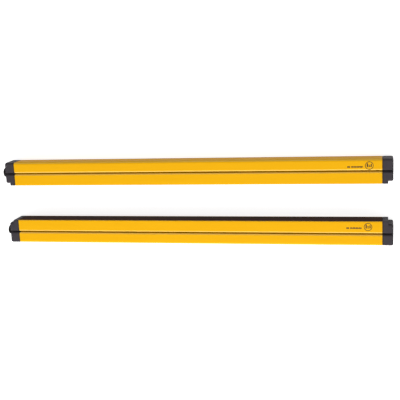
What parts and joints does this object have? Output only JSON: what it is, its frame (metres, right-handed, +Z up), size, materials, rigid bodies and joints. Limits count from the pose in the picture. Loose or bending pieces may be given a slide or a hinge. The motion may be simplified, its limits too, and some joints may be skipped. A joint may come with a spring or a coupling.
{
  "type": "safety light curtain",
  "caption": "Safety light curtain: slim emitter and receiver bars with facing dark windows, side mounting grooves, moulded end caps and round plug sockets.",
  "frame": {"origin": "bottom centre of the whole set, on the surface that both bars lie on", "axes": "+X along the bars, away from the plugs; +Y from the receiver to the emitter; +Z up"},
  "size_m": [0.4996, 0.106, 0.028],
  "materials": {
    "yellow_powder_coat": "satin powder coat",
    "smoked_window": "polished, infrared-transparent",
    "black_rubber": "matte",
    "circuit_board": "solder mask",
    "chip_black": "moulded",
    "carrier_black": "moulded",
    "clear_lens": "polished",
    "lamp_diffuser": "diffusing",
    "cap_black": "fine moulded grain",
    "steel_screw": "zinc plated",
    "dark_plated_shell": "black plated brass",
    "insert_black": "moulded",
    "gold_pin": "gold plated",
    "diode_clear": "clear epoxy"
  },
  "bodies": {
    "root": {"receiver_housing_profile": "yellow_powder_coat", "receiver_front_window": "smoked_window", "receiver_window_seal": "black_rubber", "receiver_beam_board": "circuit_board", "receiver_control_parts": "chip_black", "receiver_optics_carrier_1": "carrier_black", "receiver_optics_carrier_2": "carrier_black", "receiver_optics_carrier_3": "carrier_black", "receiver_lens_strip_1": "clear_lens", "receiver_lens_strip_2": "clear_lens", "receiver_lens_strip_3": "clear_lens", "receiver_display_holder": "carrier_black", "receiver_status_lamps": "lamp_diffuser", "receiver_end_cap": "cap_black", "receiver_connector_cap": "cap_black", "receiver_end_cap_gasket": "black_rubber", "receiver_connector_cap_gasket": "black_rubber", "receiver_end_cap_screws": "steel_screw", "receiver_connector_cap_screws": "steel_screw", "receiver_connector_shell": "dark_plated_shell", "receiver_connector_seal": "black_rubber", "receiver_connector_insert": "insert_black", "receiver_connector_pins": "gold_pin", "receiver_beam_receivers": "diode_clear", "emitter_housing_profile": "yellow_powder_coat", "emitter_front_window": "smoked_window", "emitter_window_seal": "black_rubber", "emitter_beam_board": "circuit_board", "emitter_control_parts": "chip_black", "emitter_optics_carrier_1": "carrier_black", "emitter_optics_carrier_2": "carrier_black", "emitter_optics_carrier_3": "carrier_black", "emitter_lens_strip_1": "clear_lens", "emitter_lens_strip_2": "clear_lens", "emitter_lens_strip_3": "clear_lens", "emitter_display_holder": "carrier_black", "emitter_status_lamps": "lamp_diffuser", "emitter_end_cap": "cap_black", "emitter_connector_cap": "cap_black", "emitter_end_cap_gasket": "black_rubber", "emitter_connector_cap_gasket": "black_rubber", "emitter_end_cap_screws": "steel_screw", "emitter_connector_cap_screws": "steel_screw", "emitter_connector_shell": "dark_plated_shell", "emitter_connector_seal": "black_rubber", "emitter_connector_insert": "insert_black", "emitter_connector_pins": "gold_pin", "emitter_beam_emitters": "diode_clear"}
  },
  "joints": []
}
